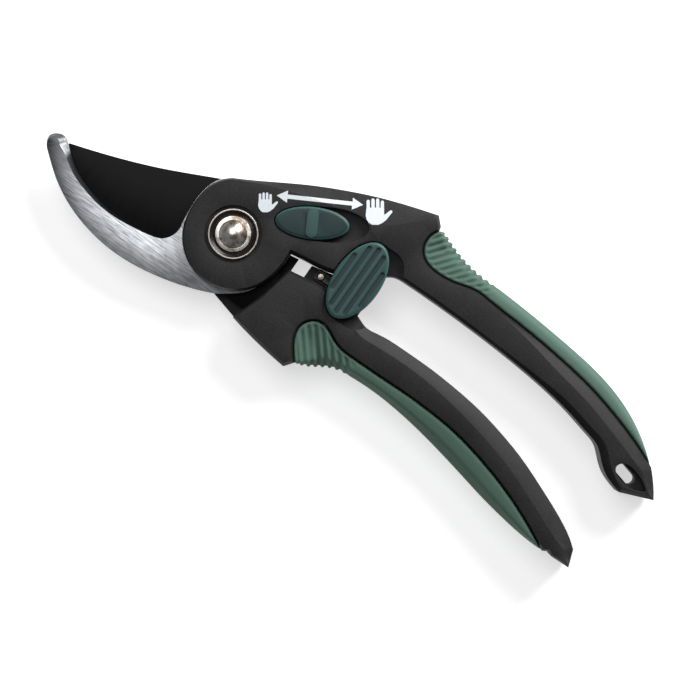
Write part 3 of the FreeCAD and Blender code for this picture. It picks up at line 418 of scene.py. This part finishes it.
def gripSkin(name):
    shape = gripShape[name]
    skin = nodes[name].copy()
    skin.data = nodes[name].data.copy()
    skin.name = f"{name}_skin"
    skin.parent = None
    bpy.context.scene.collection.objects.link(skin)
    for key in list(skin.keys()):
        del skin[key]
    weld = skin.modifiers.new("weld", "WELD")
    weld.merge_threshold = weldReach
    remesh = skin.modifiers.new("remesh", "REMESH")
    remesh.mode = "VOXEL"
    remesh.voxel_size = gripShape["voxel"]
    rounding = skin.modifiers.new("rounding", "SMOOTH")
    rounding.factor = gripShape["smoothing"]
    rounding.iterations = gripShape["rounding"]
    depsgraph = bpy.context.evaluated_depsgraph_get()
    rounded = bpy.data.meshes.new_from_object(skin.evaluated_get(depsgraph))
    skin.modifiers.clear()
    skin.data = rounded
    angle = math.radians(shape["angle"])
    across = Vector((math.sin(angle), -math.cos(angle), 0.0))
    seat = BVHTree.FromObject(nodes[shape["seat"]], depsgraph)
    border = gripShape["border"]
    ribEdge = gripShape["ribEdge"]
    low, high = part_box(name)
    middle = (low.z + high.z) / 2
    moved = []
    for vertex in rounded.vertices:
        # grooves fade out beside the handle and at the far end of the ribs
        margin = seat.find_nearest(vertex.co)[3] / mm
        toEnd = shape["end"] - vertex.co.x / mm
        fade = smoothStep(margin, *border) * smoothStep(toEnd, 0.0, gripShape["fadeOut"])
        phase = abs(vertex.co.dot(across) / (shape["pitch"] * mm) % 1.0 - 0.5) * 2
        groove = 1 - smoothStep(phase, shape["width"] - ribEdge, shape["width"] + ribEdge)
        place = vertex.co - vertex.normal * (groove * fade * shape["depth"] * mm)
        lean = gripShape["crown"] * min(margin / gripShape["crownReach"], 1.0) ** gripShape["crownPower"]
        place.z -= lean * mm * (place.z - middle) / (high.z - middle)
        moved.append(place)
    for vertex, place in zip(rounded.vertices, moved):
        vertex.co = place
    for polygon in rounded.polygons:
        polygon.use_smooth = True
    dress(skin, finishes["soft_grip"])
    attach(skin, shape["body"])
    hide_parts(name)
    return skin


for name in ("upper_grip", "lower_grip"):
    gripSkin(name)
print("grips rounded and ribbed")


# Opening spring: coil round the sleeve, one leg held by each half.
springShape = {"coil": 6.4, "wire": 0.4, "turns": 1.333, "coilSteps": 40, "legAngle": 30.0, "legReach": 18.6,
               "legSteps": 4, "anchor": 9.5, "bendStart": 1.0, "bendEnd": 2.5, "roundness": 4}


def springCoil():
    low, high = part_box("opening_spring")
    radius = springShape["coil"] * mm
    bottom = low.z + springShape["wire"] * mm
    top = high.z - springShape["wire"] * mm
    points = [Vector((0.0, -springShape["anchor"] * mm, bottom))]
    for index in range(springShape["coilSteps"] + 1):
        share = index / springShape["coilSteps"]
        turn = -math.pi / 2 + 2 * math.pi * springShape["turns"] * share
        level = bottom + (top - bottom) * share
        points.append(Vector((radius * math.cos(turn), radius * math.sin(turn), level)))
    leg = math.radians(springShape["legAngle"])
    out = Vector((math.cos(leg), math.sin(leg), 0.0))
    for index in range(springShape["legSteps"]):
        share = (index + 1) / springShape["legSteps"]
        reach = radius + (springShape["legReach"] * mm - radius) * share
        points.append(out * reach + Vector((0.0, 0.0, top)))
    curve = bpy.data.curves.new("opening_spring_wire", "CURVE")
    curve.dimensions = "3D"
    curve.bevel_depth = springShape["wire"] * mm
    curve.bevel_resolution = springShape["roundness"]
    curve.use_fill_caps = True
    spline = curve.splines.new("POLY")
    spline.points.add(len(points) - 1)
    for point, place in zip(spline.points, points):
        point.co = (*place, 1.0)
    line = bpy.data.objects.new("opening_spring_line", curve)
    bpy.context.scene.collection.objects.link(line)
    depsgraph = bpy.context.evaluated_depsgraph_get()
    mesh = bpy.data.meshes.new_from_object(line.evaluated_get(depsgraph))
    bpy.data.objects.remove(line)
    wire = bpy.data.objects.new("opening_spring_wire", mesh)
    bpy.context.scene.collection.objects.link(wire)
    for polygon in mesh.polygons:
        polygon.use_smooth = True
    dress(wire, finishes["plain_steel"])
    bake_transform(wire)
    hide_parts("opening_spring")
    return wire


springCoil()
print("spring wound")


# Printed size marks on the upper handle: a small and a large hand, and a double arrow.
printShape = {
    "lift": 0.04, "sink": 0.08, "lean": 35.0, "grid": 0.5 * mm, "passes": 5, "above": 5.0,
    "smallHand": {"centre": (2.4, 13.4), "height": 6.0},
    "largeHand": {"centre": (31.3, 30.25), "height": 8.1},
    "arrowStart": (4.1, 17.15), "arrowEnd": (27.2, 29.9), "shaft": 1.25,
    "headLength": 3.3, "headWidth": 3.7,
}
# A hand one unit tall: place and height of each finger's end, all pointing up, then the thumb.
handShape = {
    "fingerWidth": 0.125, "fingerRoot": 0.15, "fingerSteps": 6,
    "fingers": ((-0.25, 0.45), (-0.07, 0.5), (0.105, 0.5), (0.28, 0.42)),
    "thumb": ((0.345, -0.13), (0.57, 0.04), (0.64, -0.04), (0.42, -0.32)),
    "thumbTurns": (0.0, 0.8, 1.6, 2.4, math.pi),
    "palm": ((0.24, -0.45), (0.12, -0.5), (-0.1, -0.5), (-0.22, -0.43), (-0.31, -0.3), (-0.345, -0.15)),
}


def handOutline():
    half = handShape["fingerWidth"] / 2
    root = handShape["fingerRoot"]
    points = []
    for place, end in handShape["fingers"]:
        points.append(Vector((place - half, root)))
        for step in range(handShape["fingerSteps"] + 1):
            roll = math.pi * (1 - step / handShape["fingerSteps"])
            points.append(Vector((place + half * math.cos(roll), end - half + half * math.sin(roll))))
        points.append(Vector((place + half, root)))
    start, tip, under, wrist = (Vector(place) for place in handShape["thumb"])
    middle = (tip + under) / 2
    reach = tip - middle
    out = Vector((reach.y, -reach.x))
    rounded = [middle + reach * math.cos(roll) + out * math.sin(roll) for roll in handShape["thumbTurns"]]
    return points + [start] + rounded + [wrist] + [Vector(place) for place in handShape["palm"]]


def arrowOutline():
    start = Vector(printShape["arrowStart"])
    end = Vector(printShape["arrowEnd"])
    length = (end - start).length
    along = (end - start) / length
    across = Vector((-along.y, along.x))
    half = printShape["shaft"] / 2
    head = printShape["headLength"]
    wide = printShape["headWidth"] / 2
    upper = [(0.0, 0.0), (head, wide), (head, half)]
    upper += [(length - head, half), (length - head, wide), (length, 0.0)]
    lower = [(reach, -rise) for reach, rise in upper[-2:0:-1]]
    return [start + along * reach + across * rise for reach, rise in upper + lower]


def printMark(name, outline):
    # a thin film laid on the handle's face, which slopes towards the top edge
    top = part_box("upper_handle")[1].z
    face = BVHTree.FromObject(nodes["upper_handle"], bpy.context.evaluated_depsgraph_get())
    builder = bmesh.new()
    corners = [builder.verts.new((point.x * mm, point.y * mm, top)) for point in outline]
    builder.faces.new(corners)
    bmesh.ops.triangulate(builder, faces=builder.faces[:])
    for _ in range(printShape["passes"]):
        long = [edge for edge in builder.edges if edge.calc_length() > printShape["grid"]]
        if long:
            bmesh.ops.subdivide_edges(builder, edges=long, cuts=1)
            bmesh.ops.triangulate(builder, faces=builder.faces[:])
    for vertex in builder.verts:
        above = vertex.co + Vector((0.0, 0.0, printShape["above"] * mm))
        hit = face.ray_cast(above, Vector((0.0, 0.0, -1.0)))[0]
        vertex.co.z = hit.z + printShape["lift"] * mm
    walls = bmesh.ops.extrude_face_region(builder, geom=builder.faces[:])["geom"]
    for item in walls:
        if isinstance(item, bmesh.types.BMVert):
            item.co.z -= (printShape["lift"] + printShape["sink"]) * mm
    bmesh.ops.recalc_face_normals(builder, faces=builder.faces)
    mesh = bpy.data.meshes.new(name)
    builder.to_mesh(mesh)
    builder.free()
    mark = bpy.data.objects.new(name, mesh)
    bpy.context.scene.collection.objects.link(mark)
    dress(mark, finishes["ink"])
    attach(mark, "upper_half")
    return mark


for name in ("smallHand", "largeHand"):
    hand = printShape[name]
    lean = Matrix.Rotation(math.radians(printShape["lean"]), 2)
    centre = Vector(hand["centre"])
    printMark(name, [centre + lean @ (point * hand["height"]) for point in handOutline()])
printMark("sizeArrow", arrowOutline())
print("marks printed")


# Floor, lights and camera
studio = {
    "floorDark": (0.86, 0.86, 0.86), "floorLight": (0.9, 0.9, 0.9), "floorSize": 3.0, "floorGlow": 0.6,
    "worldStrength": 0.12,
    "keyPlace": (0.1, 0.68, 0.46), "keySize": 0.5, "keyPower": 8.0,
    "fillPlace": (-0.25, 0.2, 0.9), "fillSize": 0.6, "fillPower": 2.6,
    "viewWidth": 0.2131, "viewDistance": 0.8, "viewHeight": 0.015, "viewTurn": 35.0,
    "viewCentre": (0.0492, -0.0085), "lightAim": (0.04, 0.0, 0.01), "sensor": 36.0,
}


def buildFloor():
    builder = bmesh.new()
    bmesh.ops.create_grid(builder, x_segments=2, y_segments=2, size=studio["floorSize"])
    mesh = bpy.data.meshes.new("floor")
    builder.to_mesh(mesh)
    builder.free()
    floor = bpy.data.objects.new("floor", mesh)
    floor.location = (*studio["viewCentre"], cadBox[0][2])
    bpy.context.scene.collection.objects.link(floor)
    glow = {"Emission Color": (1.0, 1.0, 1.0), "Emission Strength": studio["floorGlow"]}
    graph = Graph("floor_paper", **glow)
    paper = graph.mix(graph.noise(30.0), studio["floorDark"], studio["floorLight"])
    graph.surface(Base_Color=paper, Roughness=0.85)
    dress(floor, graph.material)


def buildLight(name, place, size, power):
    lamp = bpy.data.lights.new(name, "AREA")
    lamp.shape = "DISK"
    lamp.size = size
    lamp.energy = power
    holder = bpy.data.objects.new(name, lamp)
    holder.location = place
    aim = Vector(studio["lightAim"]) - Vector(place)
    holder.rotation_euler = aim.to_track_quat("-Z", "Y").to_euler()
    bpy.context.scene.collection.objects.link(holder)


def buildCamera():
    lens = bpy.data.cameras.new("camera")
    lens.sensor_width = studio["sensor"]
    lens.lens = studio["sensor"] * studio["viewDistance"] / studio["viewWidth"]
    lens.dof.use_dof = False
    lens.clip_end = 20.0
    camera = bpy.data.objects.new("camera", lens)
    camera.location = (*studio["viewCentre"], studio["viewDistance"] + studio["viewHeight"])
    camera.rotation_euler = (0.0, 0.0, math.radians(studio["viewTurn"]))
    bpy.context.scene.collection.objects.link(camera)
    bpy.context.scene.camera = camera


buildFloor()
buildLight("key_light", studio["keyPlace"], studio["keySize"], studio["keyPower"])
buildLight("fill_light", studio["fillPlace"], studio["fillSize"], studio["fillPower"])
world = bpy.data.worlds.new("studio")
world.use_nodes = True
backdrop = world.node_tree.nodes["Background"]
backdrop.inputs["Color"].default_value = (1.0, 1.0, 1.0, 1.0)
backdrop.inputs["Strength"].default_value = studio["worldStrength"]
bpy.context.scene.world = world
bpy.context.scene.view_settings.view_transform = "Standard"
buildCamera()
print("studio set")
